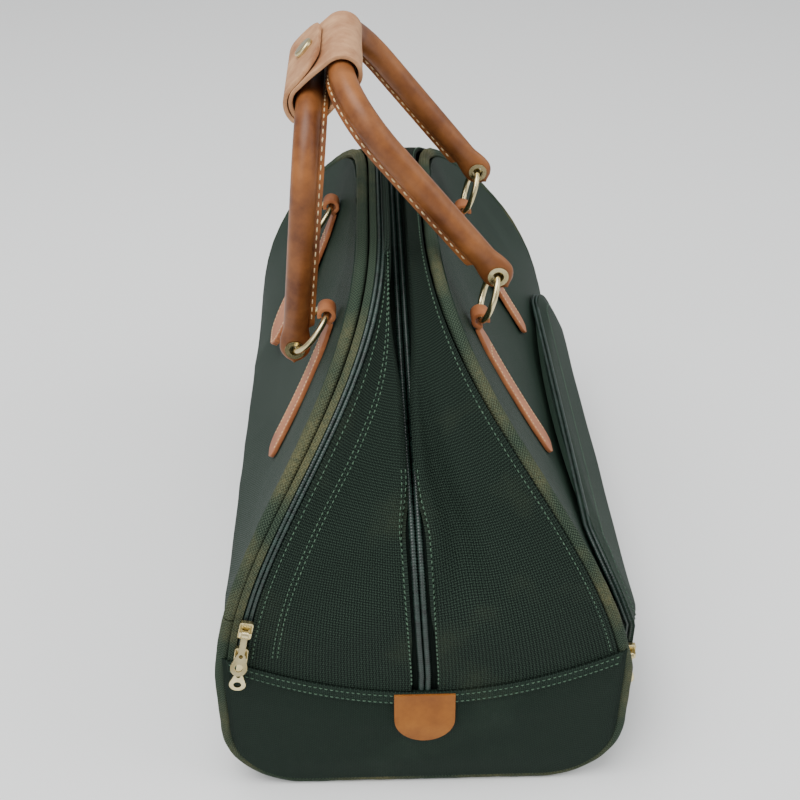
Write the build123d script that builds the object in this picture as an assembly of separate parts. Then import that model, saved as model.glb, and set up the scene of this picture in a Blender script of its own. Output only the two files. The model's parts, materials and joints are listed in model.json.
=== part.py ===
"""Soft-sided doctor bag: base, two leaning walls, zip-round front pocket, wide back pocket,
rolled leather handles on rings, handle wrap with a snap, zipper sliders and a luggage tag.

Millimetres.  X runs along the bag, -Y is the front, +Y the back, +Z up.
The origin is the middle of the base, on the surface that the bag stands on.
"""
import os
from math import asin, atan2, cos, degrees, radians, sin, tan

from build123d import *

os.makedirs("parts", exist_ok=True)

# ---------------------------------------------------------------- driving dimensions
bag_length = 460.0          # over the piping at both ends
bag_width = 258.0           # over the base, front to back
body_height = 311.0         # to the top of the body, without the handles
front_top = 37.0            # front panel's top edge, in front of the middle plane
back_top = 12.0             # back panel's top edge, behind the middle plane
lean_height = 100.0         # where the upright walls begin to lean inwards
fold_height = 150.0         # where the walls bend outwards when the bag is opened
end_bulge = 18.5            # how far the walls swell at the two ends
middle_bulge = -10.0        # how far they sag half way along
base_corner = 52.0          # round edge between base and walls
crown_radius = 183.0        # round upper corners, seen from the front

panel_thickness = 3.0       # coated nylon on foam
gusset_thickness = 2.5
lining_thickness = 2.0
board_thickness = 3.0
piping_radius = 4.0
coil_radius = 1.3           # pocket zippers
main_coil_radius = 1.9      # main zipper
valley_depth = 22.0         # how deep the main zipper lies between the two walls at the top
valley_reach = 105.0        # height above the fold over which the valley gets that deep
end_band_height = 96.0      # plain nylon at the foot of each end
pocket_coil_foot = 114.0    # where the front pocket's zipper ends

pocket_width = 380.0        # wide back pocket with a round-cornered zipper
pocket_low = 54.0
pocket_high = 146.0
pocket_corner = 46.0
pocket_bulge = 12.0

strap_width = 22.0
strap_thickness = 3.0
strap_low = 158.0
strap_spacing = 156.0       # between the two straps and the two legs of a handle
front_loop_height = 268.0
back_loop_height = 262.0
loop_radius = 5.8
loop_hole = 3.6
loop_length = 12.0
loop_lift = 0.7             # from the wall to the loop
ring_radius = 16.5          # to the middle of the wire
ring_wire = 2.0

handle_radius = 8.5
eyelet_end_radius = 10.0    # round end of a handle, flattened for the eyelet
eyelet_end_neck = 14.0      # from the eyelet up to the round part
handle_rise = 149.0         # from the eyelets to the middle of the grip
handle_corner = 45.0
handle_end = 10.0           # thickness of the flat end that holds the eyelet
eyelet_hole = 3.6
eyelet_radius = 6.5         # outside of the grommet in the handle
grommet_proud = 0.8         # it stands out of the leather on each side
front_ring_angle = 140.0    # from straight up, towards the front
back_ring_angle = -17.0
front_handle_tilt = -5.4    # negative leans to the back
back_handle_tilt = 39.5

wrap_length = 84.0
wrap_thickness = 2.6
wrap_room = 1.6             # room round the handles inside the wrap
flap_turn_low = -50.0       # the flap hugs the front grip from this angle to the next, 0 being level
flap_turn_high = 44.0       # lifts a little off the sleeve
flap_tail = 24.0            # straight end of the flap, with the snap
flap_corner = 21.0
snap_radius = 7.0
snap_height = 3.0

tab_width = 38.0            # leather stop at the foot of the main zipper
tab_height = 38.0
tab_top = 86.0
tab_thickness = 2.0

slider_length = 13.0
slider_width = 8.0
slider_thickness = 2.4
pull_length = 27.0
pull_width = 10.0
pull_thickness = 1.6
bar_radius = 0.9
upper_slider_height = 145.0
lower_slider_height = 124.0
upper_pull_lift = 24.0      # it lies on the lower slider
slider_stand = 0.6          # from the end of the bag to a slider
ear_width, ear_length, ear_x = 1.2, 4.0, 3.0
eye_wall = 1.4              # metal round a pull's eye
eye_half_width = 1.9
pull_shoulder_rise = 6.5    # from the round end up to the narrower round of the plate
pull_shoulder_radius = 2.94
pull_hole = 2.4
pull_small_hole = 1.25
pull_small_hole_rise = 7.3  # from the large hole up to the small one
bar_slack = 0.3             # between the slider and a pull's eye
neck_length, neck_width, neck_centre = 12.0, 3.8, 7.0
bar_room = 0.15

tag_width = 50.0
tag_height = 60.0
tag_top = 228.0
tag_x = -80.0
tag_thickness = 5.0
tag_neck = 14.0

main_slider_lift = 18.0     # above the end band
pocket_slider_lift = 24.0   # above the pocket's foot
board_edge_room = 12.0
gap = 0.4                   # between pieces that move past each other
clear = 0.1                 # between pieces of one body that only lie together

# ---------------------------------------------------------------- derived sizes
half_length = bag_length / 2
half_width = bag_width / 2
wall_rise = body_height - lean_height
spring = body_height - crown_radius
pipe_inset = 2 * piping_radius + gap
front_coil_inset = pipe_inset + 4.3 + coil_radius
gusset_coil_inset = front_coil_inset + 2 * coil_radius + gap
main_coil_offset = main_coil_radius + gap / 2
lid_gusset_edge = front_coil_inset - coil_radius - 2 * gap
front_gusset_edge = gusset_coil_inset + coil_radius + 2 * gap
inner_wall_inset = front_gusset_edge - lining_thickness - 2 * gap
bar_height = slider_thickness + bar_radius + eye_wall + bar_slack
strap_x = strap_spacing / 2
X_AXIS = (1, 0, 0)
FRONT, BACK = -1, 1


# ---------------------------------------------------------------- the shape of the walls
def panel_y(side, x, z, inset=0.0):
    """Y of a wall's outer face, moved inwards by inset."""
    top = front_top if side == FRONT else back_top
    up = max(z - lean_height, 0.0) / wall_rise
    straight = half_width + (top - half_width) * up
    swell = middle_bulge + (end_bulge - middle_bulge) * (x / half_length) ** 2
    return side * (straight + 4 * swell * up * (1 - up) - inset)


def middle_y(x, z):
    """Y of the main zipper, half way between the two walls."""
    return (panel_y(FRONT, x, z) + panel_y(BACK, x, z)) / 2


def wall_curve(side, inset, x, low, high):
    """One parabola up a wall's section at x."""
    middle = (low + high) / 2
    ends = [panel_y(side, x, z, inset) for z in (low, high)]
    control = 2 * panel_y(side, x, middle, inset) - sum(ends) / 2
    return Bezier((x, ends[0], low), (x, control, middle), (x, ends[1], high))


def wall_section(side, outer, inner, x, low, high):
    """A wall's cut at x, between two insets."""
    first = wall_curve(side, outer, x, low, high)
    second = wall_curve(side, inner, x, low, high)
    return make_face([first, Line(first @ 1, second @ 1), second, Line(second @ 0, first @ 0)])


def wall_slab(side, outer, inner, low, high, reach):
    """A wall between two insets and two heights, from -reach to reach along the bag."""
    stations = [-reach, -reach / 2, 0, reach / 2, reach]
    return loft([wall_section(side, outer, inner, x, low, high) for x in stations])


def dome(inset):
    """The bag's outline from the front, as a block right through it."""
    height = body_height - inset
    outline = Pos(0, height / 2) * Rectangle(2 * (half_length - inset), height)
    outline = fillet(outline.vertices().group_by(Axis.Y)[-1], crown_radius - inset)
    return extrude(Plane.XZ * outline, bag_width, both=True)


def dome_point(z, inset=0.0):
    """The near half of the outline at height z: x and the angle round the crown."""
    radius = crown_radius - inset
    angle = degrees(asin(min(max(z - spring, 0.0) / radius, 1.0)))
    return half_length - crown_radius + radius * cos(radians(angle)), angle


def over_the_top(place, inset, start, steps=9):
    """Corners of a path over the bag, outside its arcs so that the rounded path follows them."""
    first_x, first_angle = dome_point(start, inset(start))
    half = [place(first_x, start)]
    step = (90.0 - first_angle) / steps
    for k in range(steps):
        turn = radians(first_angle + (k + 0.5) * step)
        depth = inset(spring + crown_radius * sin(turn))
        radius = (crown_radius - depth) / cos(radians(step / 2))
        half.append(place(half_length - crown_radius + radius * cos(turn), spring + radius * sin(turn)))
    return half + [(-x, y, z) for x, y, z in reversed(half)]


def up_the_end(place, inset, start):
    """Points of the short stretch of a path from start up to the fold, at the near end."""
    stop = fold_height - gap
    middle = (spring + stop) / 2
    heights = (start, middle, stop)
    return [place(half_length - inset if z < stop else dome_point(z, inset)[0], z) for z in heights]


def rounded_path(points):
    """A path through the points with the largest arcs that its runs allow."""
    radii = []
    for a, b, c in zip(points, points[1:], points[2:]):
        into, out = Vector(*b) - Vector(*a), Vector(*c) - Vector(*b)
        turn = radians(into.get_angle(out))
        radii.append(0.45 * min(into.length, out.length) / tan(turn / 2))
    return FilletPolyline(*points, radius=radii)


def cord(points, radius):
    """A round cord along rounded_path(points)."""
    path = rounded_path(points)
    section = Plane(origin=path @ 0, z_dir=path % 0) * Circle(radius)
    return sweep(section, path=path)


def save(name, shape):
    """Write one sub-part."""
    export_step(shape, f"parts/{name}.step")


def both_ends(shape):
    """A shape at the near end and its copy at the far end."""
    return shape, mirror(shape, about=Plane.YZ)


# ---------------------------------------------------------------- base
def base_block(inset, reach, height=lean_height):
    """The lower part of the bag, with round edges."""
    tall = height - inset
    outline = Pos(0, inset + tall / 2) * Rectangle(bag_width - 2 * inset, tall)
    outline = fillet(outline.vertices().group_by(Axis.Y)[0], base_corner - inset)
    return extrude(Plane.YZ * outline, reach, both=True)


def make_base():
    body_reach = half_length - pipe_inset
    shell = base_block(0, body_reach) - base_block(panel_thickness, bag_length)
    for side in (FRONT, BACK):
        slab = wall_slab(side, 0, panel_thickness, lean_height, fold_height - gap, half_length)
        shell += slab & dome(pipe_inset + gap)
    save("bottom_panel", shell)

    board = Box(2 * body_reach - board_edge_room, bag_width - 2 * base_corner, board_thickness)
    save("base_board", Pos(0, 0, panel_thickness + clear + board_thickness / 2) * board)

    band = base_block(pipe_inset, half_length, end_band_height)
    band -= base_block(0, half_length - gusset_thickness)
    band = band & (Pos(half_length, 0, 0) * Box(bag_length, 2 * bag_width, 2 * body_height))

    nose = tab_width / 2
    tab_face = Pos(0, tab_top - (tab_height - nose) / 2) * Rectangle(tab_width, tab_height - nose)
    tab_face += Pos(0, tab_top - tab_height + nose) * Circle(nose)
    tab = Pos(half_length + clear, 0, 0) * extrude(Plane.YZ * tab_face, tab_thickness)

    pieces = (("end_band", band), ("base_piping", base_piping()), ("end_tab", tab),
              ("lower_gusset", lower_gusset()), ("main_coil_foot", coil_foot((FRONT, BACK))),
              ("front_coil_foot", front_coil_foot()))
    for label, shape in pieces:
        for end, solid in zip(("near", "far"), both_ends(shape)):
            save(f"{end}_{label}", solid)


def base_piping():
    """Piping under one end of the bag, from fold to fold."""
    low, out = piping_radius, half_width - piping_radius
    pipe_x = half_length - piping_radius
    top = fold_height - gap
    bend = lean_height + (fold_height - lean_height) / 4
    ends = [panel_y(side, pipe_x, top, piping_radius) for side in (FRONT, BACK)]
    points = [(dome_point(top, piping_radius)[0], ends[0], top), (pipe_x, -out, bend),
              (pipe_x, -out, low), (pipe_x, out, low), (pipe_x, out, bend),
              (dome_point(top, piping_radius)[0], ends[1], top)]
    corner = base_corner - piping_radius
    path = FilletPolyline(*points, radius=[corner, corner, corner, corner])
    section = Plane(origin=path @ 0, z_dir=path % 0) * Circle(piping_radius)
    return sweep(section, path=path)


# ---------------------------------------------------------------- gussets and zippers
def valley(z):
    """How deep the main zipper lies under the bag's outline at height z."""
    share = min(max((z - fold_height) / valley_reach, 0.0), 1.0)
    return valley_depth * share * share * (3 - 2 * share)


def strip(stations, side, edge_inset, until=None):
    """Fabric from a wall's edge to the main zipper, or to another inset, along stations (x, z, angle)."""
    sections = []
    for x, z, angle in stations:
        inward = Vector(-cos(radians(angle)), 0, -sin(radians(angle)))
        outer = Vector(x, panel_y(side, x, z, edge_inset), z)
        if until is None:
            deep = Vector(x, 0, z) + inward * valley(z)
            inner_y = middle_y(deep.X, deep.Z) + side * (main_coil_offset + main_coil_radius + 2 * gap)
            inner = Vector(deep.X, inner_y, deep.Z)
        else:
            inner = Vector(x, panel_y(side, x, z, until), z)
        corners = [outer, inner, inner + inward * gusset_thickness,
                   outer + inward * gusset_thickness]
        sections.append(make_face(Polyline(*corners, close=True)))
    return loft(sections, ruled=True)


def end_stations(low, high):
    """Stations up the near end, from low to high."""
    heights = [low, spring, (spring + high) / 2, high]
    return [(dome_point(z)[0], z, dome_point(z)[1]) for z in heights]


def top_stations(steps=12):
    """Stations from the near fold over the top to the far fold."""
    first = dome_point(fold_height + gap)[1]
    angles = [first + (90 - first) * k / steps for k in range(steps + 1)]
    centre_x = half_length - crown_radius
    near = [(centre_x + crown_radius * cos(radians(a)), spring + crown_radius * sin(radians(a)), a)
            for a in angles]
    return near + [(-x, z, 180 - a) for x, z, a in reversed(near)]


def lower_gusset():
    """The parts of one end gusset below the fold: beside the zippers and at the back."""
    stations = end_stations(end_band_height + gap, fold_height - gap)
    narrow = strip(stations, FRONT, pipe_inset + gap, until=lid_gusset_edge)
    return Compound([narrow, strip(stations, FRONT, front_gusset_edge), strip(stations, BACK, pipe_inset + gap)])


def main_place(side):
    return lambda x, z: (x, middle_y(x, z) + side * main_coil_offset, z)


def front_place(inset):
    return lambda x, z: (x, panel_y(FRONT, x, z, inset), z)


def coil_foot(sides):
    """The main zipper's teeth below the fold."""
    return Compound([cord(up_the_end(main_place(side), main_coil_radius, end_band_height + gap),
                          main_coil_radius) for side in sides])


def front_coil_foot():
    """The front pocket zipper's teeth below the fold."""
    return Compound([cord(up_the_end(front_place(inset), coil_radius, pocket_coil_foot), coil_radius)
                     for inset in (front_coil_inset, gusset_coil_inset)])


def main_coil(side):
    inset = lambda z: valley(z) + main_coil_radius
    return cord(over_the_top(main_place(side), inset, fold_height + gap), main_coil_radius)


def pocket_coil(inset):
    return cord(over_the_top(front_place(inset), lambda z: coil_radius, fold_height + gap), coil_radius)


def wall_piping(side):
    place = lambda x, z: (x, panel_y(side, x, z, piping_radius), z)
    return cord(over_the_top(place, lambda z: piping_radius, fold_height + gap), piping_radius)


# ---------------------------------------------------------------- walls
def upper_wall(side, outer, inner):
    return wall_slab(side, outer, inner, fold_height + gap, body_height, half_length)


def make_front():
    save("front_panel", upper_wall(FRONT, 0, panel_thickness) & dome(pipe_inset + gap))
    save("front_piping", wall_piping(FRONT))
    save("front_lid_gusset", strip(top_stations(), FRONT, pipe_inset + gap, until=lid_gusset_edge))
    save("front_lid_coil", pocket_coil(front_coil_inset))

    save("front_gusset_coil", pocket_coil(gusset_coil_inset))
    edge = front_gusset_edge
    wall = upper_wall(FRONT, inner_wall_inset, inner_wall_inset + lining_thickness)
    save("front_inner_wall", wall & dome(2 * coil_radius + 3 * gap))
    save("front_gusset", strip(top_stations(), FRONT, edge))
    save("front_main_coil", main_coil(FRONT))


def make_back():
    save("back_panel", upper_wall(BACK, 0, panel_thickness) & dome(pipe_inset + gap))
    save("back_piping", wall_piping(BACK))
    save("back_gusset", strip(top_stations(), BACK, pipe_inset + gap))
    save("back_main_coil", main_coil(BACK))


# ---------------------------------------------------------------- wide back pocket
def arch(inset):
    """The pocket's outline from the back, as a block."""
    width, height = pocket_width - 2 * inset, pocket_high - pocket_low - inset
    outline = Pos(0, pocket_low + height / 2) * Rectangle(width, height)
    outline = fillet(outline.vertices().group_by(Axis.Y)[-1], pocket_corner - inset)
    return extrude(Plane.XZ * outline, bag_width, both=True)


def arch_coil(out):
    """A coil along the pocket's outline, standing out from the back panel."""
    half, high = pocket_width / 2 - coil_radius, pocket_high - coil_radius
    radius = pocket_corner - coil_radius
    line = [(half, pocket_low + gap), (half, lean_height - 6)]
    for angle in (15, 45, 75):
        turn, reach = radians(angle), radius / cos(radians(15))
        line.append((half - radius + reach * cos(turn), high - radius + reach * sin(turn)))
    line.append((half / 3, high))
    points = [(x, panel_y(BACK, x, z, -out), z) for x, z in line]
    points += [(-x, y, z) for x, y, z in reversed(points)]
    return cord(points, coil_radius)


def lower_wall(outer, inner):
    """The back wall below the fold, between two insets, upright part and leaning part."""
    upright = Box(bag_length, inner - outer, lean_height - pocket_low)
    y = half_width - (outer + inner) / 2
    block = Pos(0, y, (lean_height + pocket_low) / 2) * upright
    return block + wall_slab(BACK, outer, inner, lean_height, fold_height, half_length)


def make_pocket():
    fixed_out = coil_radius + 4 * gap
    moving_out = fixed_out + 2 * coil_radius + gap
    save("pocket_panel_coil", arch_coil(fixed_out))
    save("pocket_flap_coil", arch_coil(moving_out))
    skin_low = moving_out + coil_radius + 4 * gap
    save("pocket_flap", lower_wall(-pocket_bulge, -skin_low) & arch(0))


# ---------------------------------------------------------------- straps, rings and handles
def direction(angle):
    """Unit vector in the YZ plane, at angle degrees from straight up towards the front."""
    return Vector(0, -sin(radians(angle)), cos(radians(angle)))


def panel_normal(side, x, z):
    slope = (panel_y(side, x, z + 1) - panel_y(side, x, z - 1)) / 2
    return Vector(0, side, -side * slope).normalized()


def loop_centre(side):
    height = front_loop_height if side == FRONT else back_loop_height
    on_panel = Vector(0, panel_y(side, strap_x, height), height)
    return on_panel + panel_normal(side, strap_x, height) * (loop_radius + loop_lift)


def eyelet_centre(side):
    angle = front_ring_angle if side == FRONT else back_ring_angle
    return loop_centre(side) + direction(angle) * (2 * ring_radius)


def grip_centre(side):
    tilt = front_handle_tilt if side == FRONT else back_handle_tilt
    return eyelet_centre(side) + direction(tilt) * handle_rise


def rod(centre, radius, length):
    """A round bar along X, centred on centre."""
    face = Plane(origin=centre, z_dir=X_AXIS) * Circle(radius)
    return extrude(face, length / 2, both=True)


def make_straps(side, label):
    centre = loop_centre(side)
    strap_top = centre.Z - 1
    slab = upper_wall(side, -strap_thickness - clear, -clear)
    height = strap_top - strap_low
    for name, x in (("near", strap_x), ("far", -strap_x)):
        outline = Pos(x, strap_low + height / 2) * Rectangle(strap_width, height)
        outline = fillet(outline.vertices().group_by(Axis.Y)[0], strap_width / 2 - 1)
        strap = slab & extrude(Plane.XZ * outline, bag_width, both=True)
        at = Vector(x, centre.Y, centre.Z)
        strap += rod(at, loop_radius, loop_length)
        strap -= rod(at, loop_hole, strap_width + 2)
        save(f"{name}_{label}_strap", strap)


def make_rings(side, label):
    angle = front_ring_angle if side == FRONT else back_ring_angle
    across = direction(angle)
    middle = loop_centre(side) + across * ring_radius
    for name, x in (("near", strap_x), ("far", -strap_x)):
        plane = Plane(origin=(x, middle.Y, middle.Z), x_dir=X_AXIS, z_dir=Vector(1, 0, 0).cross(across))
        save(f"{name}_{label}_ring", plane * Torus(ring_radius, ring_wire))


def make_handle(side, label):
    tilt = front_handle_tilt if side == FRONT else back_handle_tilt
    up = direction(tilt)
    foot, grip = eyelet_centre(side), grip_centre(side)
    corners = [foot + up * eyelet_end_neck, grip]
    points = [(strap_x, p.Y, p.Z) for p in corners] + [(-strap_x, p.Y, p.Z) for p in reversed(corners)]
    path = FilletPolyline(*points, radius=handle_corner)
    section = Plane(origin=path @ 0, z_dir=path % 0) * Circle(handle_radius)
    handle = sweep(section, path=path)
    grommets = []
    for x in (strap_x, -strap_x):
        at = Vector(x, foot.Y, foot.Z)
        end = rod(at, eyelet_end_radius, handle_end)
        frame = Plane(origin=at + up * (eyelet_end_neck + 2) / 2, x_dir=X_AXIS, z_dir=up)
        end += frame * Box(handle_end, 2 * handle_radius, eyelet_end_neck + 2)
        handle += end
        handle -= rod(at, eyelet_radius, 2 * handle_end)
        grommets.append(rod(at, eyelet_radius - clear / 2, handle_end + 2 * grommet_proud)
                        - rod(at, eyelet_hole, 2 * handle_end))
    save(f"{label}_handle", handle)
    save(f"{label}_handle_grommets", Compound(grommets))


# ---------------------------------------------------------------- handle wrap
def stadium(radius, length):
    """A block round both grips."""
    first, second = grip_centre(FRONT), grip_centre(BACK)
    spread = second - first
    angle = degrees(atan2(spread.Z, spread.Y))
    face = Rot(0, 0, angle) * SlotCenterToCenter(spread.length, 2 * radius)
    middle = (first + second) / 2
    plane = Plane(origin=middle, x_dir=(0, 1, 0), z_dir=X_AXIS)
    return extrude(plane * face, length / 2, both=True)


def flap_inner():
    """Radius of the flap's inner face round the front grip."""
    return handle_radius + wrap_room + wrap_thickness + gap


def flap_out(angle):
    """Unit vector out of the flap, at an angle above level on the front side."""
    return Vector(0, -cos(radians(angle)), sin(radians(angle)))


def flap_foot():
    """The flap's lower outer edge, on which it turns."""
    return grip_centre(FRONT) + flap_out(flap_turn_low) * (flap_inner() + wrap_thickness)


def make_wrap():
    inner = handle_radius + wrap_room
    sleeve = stadium(inner + wrap_thickness, wrap_length) - stadium(inner, wrap_length + 2)
    save("handle_wrap", sleeve)

    centre, low = grip_centre(FRONT), flap_inner()
    high = low + wrap_thickness
    tail = Vector(0, sin(radians(flap_turn_high)), cos(radians(flap_turn_high))) * flap_tail
    at = lambda radius, angle: centre + flap_out(angle) * radius
    halfway = (flap_turn_low + flap_turn_high) / 2
    inside = ThreePointArc(at(low, flap_turn_low), at(low, halfway), at(low, flap_turn_high))
    outside = ThreePointArc(at(high, flap_turn_low), at(high, halfway), at(high, flap_turn_high))
    ends = [at(low, flap_turn_high) + tail, at(high, flap_turn_high) + tail]
    outline = make_face([inside, Line(inside @ 1, ends[0]), Line(ends[0], ends[1]),
                         Line(ends[1], outside @ 1), outside, Line(outside @ 0, inside @ 0)])
    flap = extrude(outline, wrap_length / 2, dir=X_AXIS, both=True)
    corners = flap.edges().filter_by(lambda edge: abs(edge.length - wrap_thickness) < clear)
    flap = fillet(corners.group_by(Axis.Z)[-1], flap_corner)
    save("wrap_flap", flap)

    cap = Cylinder(snap_radius, snap_height)
    cap = fillet(cap.edges().group_by(Axis.Z)[-1], snap_height / 2)
    spot = at(high + snap_height / 2 + clear, flap_turn_high) + tail * 0.5
    save("snap_cap", Plane(origin=spot, z_dir=flap_out(flap_turn_high)) * cap)


# ---------------------------------------------------------------- sliders and pulls
def slider(plane):
    """A slider seen along plane's normal; the zipper runs along plane's Y."""
    body = Box(slider_width, slider_length, slider_thickness)
    body = fillet(body.edges().filter_by(Axis.Z), slider_width / 5)
    body = Pos(0, 0, slider_thickness / 2) * body
    for x in (-1, 1):
        ear = Box(ear_width, ear_length, bar_height + bar_radius)
        body += Pos(x * ear_x, 0, (bar_height + bar_radius) / 2) * ear
    bar = Plane(origin=(0, 0, bar_height), z_dir=X_AXIS) * Circle(bar_radius)
    body += extrude(bar, ear_x + ear_width / 6, both=True)
    return plane * body


def pull(plane, lift=0.0):
    """The tear-drop pull of that slider, hanging along plane's -Y and lifted off it by an angle."""
    shape = extrude(Plane.YZ * Circle(bar_radius + eye_wall), eye_half_width, both=True)
    shape += Pos(0, -neck_centre, 0) * Box(neck_width, neck_length, pull_thickness)
    plate = Circle(pull_width / 2)
    plate += Pos(0, pull_shoulder_rise) * Circle(pull_shoulder_radius)
    plate = make_hull(plate.edges())
    round_end = -pull_length + pull_width / 2 + bar_radius
    plate = Pos(0, round_end) * plate
    shape += extrude(plate, pull_thickness / 2, both=True)
    for y, hole in ((round_end, pull_hole), (round_end + pull_small_hole_rise, pull_small_hole)):
        shape -= Pos(0, y, 0) * Cylinder(hole, 2 * pull_thickness)
    shape -= extrude(Plane.YZ * Circle(bar_radius + bar_room), 4, both=True)
    return plane * (Pos(0, 0, bar_height) * Rot(-lift, 0, 0) * shape)


def end_plane(end, y, z, rise):
    """Plane on an end: its normal outwards along X, its Y up along the zipper."""
    up = Vector(0, rise, 1).normalized()
    return Plane(origin=(end * (half_length + slider_stand), y, z), x_dir=up.cross(Vector(end, 0, 0)),
                 z_dir=(end, 0, 0))


def make_sliders():
    coil_inset = (front_coil_inset + gusset_coil_inset) / 2
    for name, z, lift in (("upper", upper_slider_height, upper_pull_lift),
                          ("lower", lower_slider_height, 0.0)):
        y, above = (panel_y(FRONT, half_length, h, coil_inset) for h in (z, z + 1))
        plane = end_plane(1, y, z, above - y)
        save(f"front_slider_{name}", slider(plane))
        save(f"front_pull_{name}", pull(plane, lift))
    plane = end_plane(-1, 0, end_band_height + main_slider_lift, 0)
    save("main_slider", slider(plane))
    save("main_pull", pull(plane))
    place = Plane(origin=(pocket_width / 2 + slider_stand, half_width + pocket_bulge / 2,
                          pocket_low + pocket_slider_lift),
                  x_dir=(0, 1, 0), z_dir=X_AXIS)
    save("pocket_slider", slider(place))
    save("pocket_pull", pull(place))


# ---------------------------------------------------------------- luggage tag
def make_tag():
    out = strap_thickness + 1.0
    slab = upper_wall(FRONT, -out - tag_thickness, -out)
    outline = Pos(tag_x, tag_top - tag_neck - tag_height / 2) * Rectangle(tag_width, tag_height)
    outline = fillet(outline.vertices(), tag_width / 3)
    outline += Pos(tag_x, tag_top - tag_neck) * Rectangle(tag_neck, 2 * tag_neck)
    save("luggage_tag", slab & extrude(Plane.XZ * outline, bag_width, both=True))


make_base()
make_front()
make_back()
make_pocket()
for wall, wall_name in ((FRONT, "front"), (BACK, "back")):
    make_straps(wall, wall_name)
    make_rings(wall, wall_name)
    make_handle(wall, wall_name)
make_wrap()
make_sliders()
make_tag()

for wall, wall_name in ((FRONT, "front"), (BACK, "back")):
    print(wall_name, "loop", loop_centre(wall), "eyelet", eyelet_centre(wall), "grip", grip_centre(wall))
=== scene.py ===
# %% [markdown]
# A doctor bag is a sewn shell: two leaning walls, a cloth gusset that folds inwards between them,
# and leather handles on rings. The CAD frame gives every place and size, and the cloth and leather
# pieces are made here around it. The metal pieces keep the CAD mesh, because their shape is exact.

# %% Load the frame
import json
from math import asin, cos, degrees, pi, radians, sin, sqrt

import bpy
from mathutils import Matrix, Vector


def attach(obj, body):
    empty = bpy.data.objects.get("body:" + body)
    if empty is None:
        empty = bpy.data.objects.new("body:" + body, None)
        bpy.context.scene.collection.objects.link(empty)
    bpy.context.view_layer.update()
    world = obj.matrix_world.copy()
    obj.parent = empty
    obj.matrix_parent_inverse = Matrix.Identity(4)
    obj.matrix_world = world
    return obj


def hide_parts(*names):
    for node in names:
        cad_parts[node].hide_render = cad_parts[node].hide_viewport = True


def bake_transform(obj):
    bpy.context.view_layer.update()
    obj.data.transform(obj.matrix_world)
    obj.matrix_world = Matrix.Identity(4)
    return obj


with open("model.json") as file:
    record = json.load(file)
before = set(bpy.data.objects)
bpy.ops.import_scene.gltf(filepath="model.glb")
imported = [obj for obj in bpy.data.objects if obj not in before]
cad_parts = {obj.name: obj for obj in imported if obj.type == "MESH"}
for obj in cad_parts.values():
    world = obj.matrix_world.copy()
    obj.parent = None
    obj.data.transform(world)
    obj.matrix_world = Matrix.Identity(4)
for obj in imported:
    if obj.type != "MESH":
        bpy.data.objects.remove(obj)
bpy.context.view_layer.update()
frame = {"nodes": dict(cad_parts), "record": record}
MM = 0.001
print("CAD nodes", len(frame["nodes"]))

# %% [markdown]
# The walls follow one formula: a straight lean, with a swell that changes along the bag.
# The cloth here repeats it, so each piece lies exactly where the frame has its solid.

# %% Shape of the walls, in millimetres
FRONT, BACK = -1, 1
half_length, half_width, body_height = 230.0, 129.0, 311.0
lean_height, fold_height, crown, corner = 100.0, 150.0, 183.0, 52.0
spring, centre_x = body_height - crown, half_length - crown


def smooth(t):
    """0 to 1 with soft ends."""
    t = min(max(t, 0.0), 1.0)
    return t * t * (3 - 2 * t)


def wall_y(side, x, z, inset=0.0):
    """Y of a wall's outer face, moved inwards by inset."""
    top = 37.0 if side == FRONT else 12.0
    up = max(z - lean_height, 0.0) / (body_height - lean_height)
    swell = -10.0 + 28.5 * (x / half_length) ** 2
    return side * (half_width + (top - half_width) * up + 4 * swell * up * (1 - up) - inset)


def middle_y(x, z):
    return (wall_y(FRONT, x, z) + wall_y(BACK, x, z)) / 2


def valley(z):
    """Depth of the main zipper below the outline."""
    return 22.0 * smooth((z - fold_height) / 105.0)


def rim(s, inset=0.0):
    """x, z and the outward direction at distance s along the outline, from the near foot."""
    side_run, arc = spring, crown * pi / 2
    whole = 2 * side_run + 2 * arc + 2 * centre_x
    mirrored = s > whole / 2
    d = whole - s if mirrored else s
    if d < side_run:
        x, z, a = half_length - inset, d, 0.0
    elif d < side_run + arc:
        a = (d - side_run) / crown
        x, z = centre_x + (crown - inset) * cos(a), spring + (crown - inset) * sin(a)
    else:
        x, z, a = centre_x - (d - side_run - arc), body_height - inset, pi / 2
    flip = -1 if mirrored else 1
    return flip * x, z, Vector((flip * cos(a), 0, sin(a)))


RIM = 2 * spring + crown * pi + 2 * centre_x


def rim_at(z):
    """Distance along the outline at which the near end reaches height z."""
    return z if z < spring else spring + crown * asin(min((z - spring) / crown, 1.0))


def ripple(a, b, size):
    """Slow unevenness of slack cloth, from a few waves that don't repeat."""
    long_wave, middle_wave = sin(a / 31 + 1.3 * sin(b / 47)), sin(b / 23 + a / 61)
    return size * (0.5 * long_wave + 0.3 * middle_wave + 0.2 * sin(a / 13 - b / 17))


print("outline", round(RIM), "mm long")

# %% [markdown]
# Most of the bag is cloth that bends one way or both. A flat grid is the cloth on the table, and each
# of its points is then laid on the wall. The grid's own map is stretched to real metres, so that a
# weave keeps its thread size. A tube is the same grid rolled up, with its long edges merged.

# %% Helpers for grids, tubes and stitches
def only(obj):
    bpy.ops.object.select_all(action="DESELECT")
    obj.select_set(True)
    bpy.context.view_layer.objects.active = obj


def in_edit(obj, *steps):
    only(obj)
    bpy.ops.object.mode_set(mode="EDIT")
    bpy.ops.mesh.select_all(action="SELECT")
    for step in steps:
        step()
    bpy.ops.object.mode_set(mode="OBJECT")


def modify(obj, kind, **settings):
    only(obj)
    m = obj.modifiers.new(kind.title(), kind)
    for key, value in settings.items():
        setattr(m, key, value)
    bpy.ops.object.modifier_apply(modifier=m.name)


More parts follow.
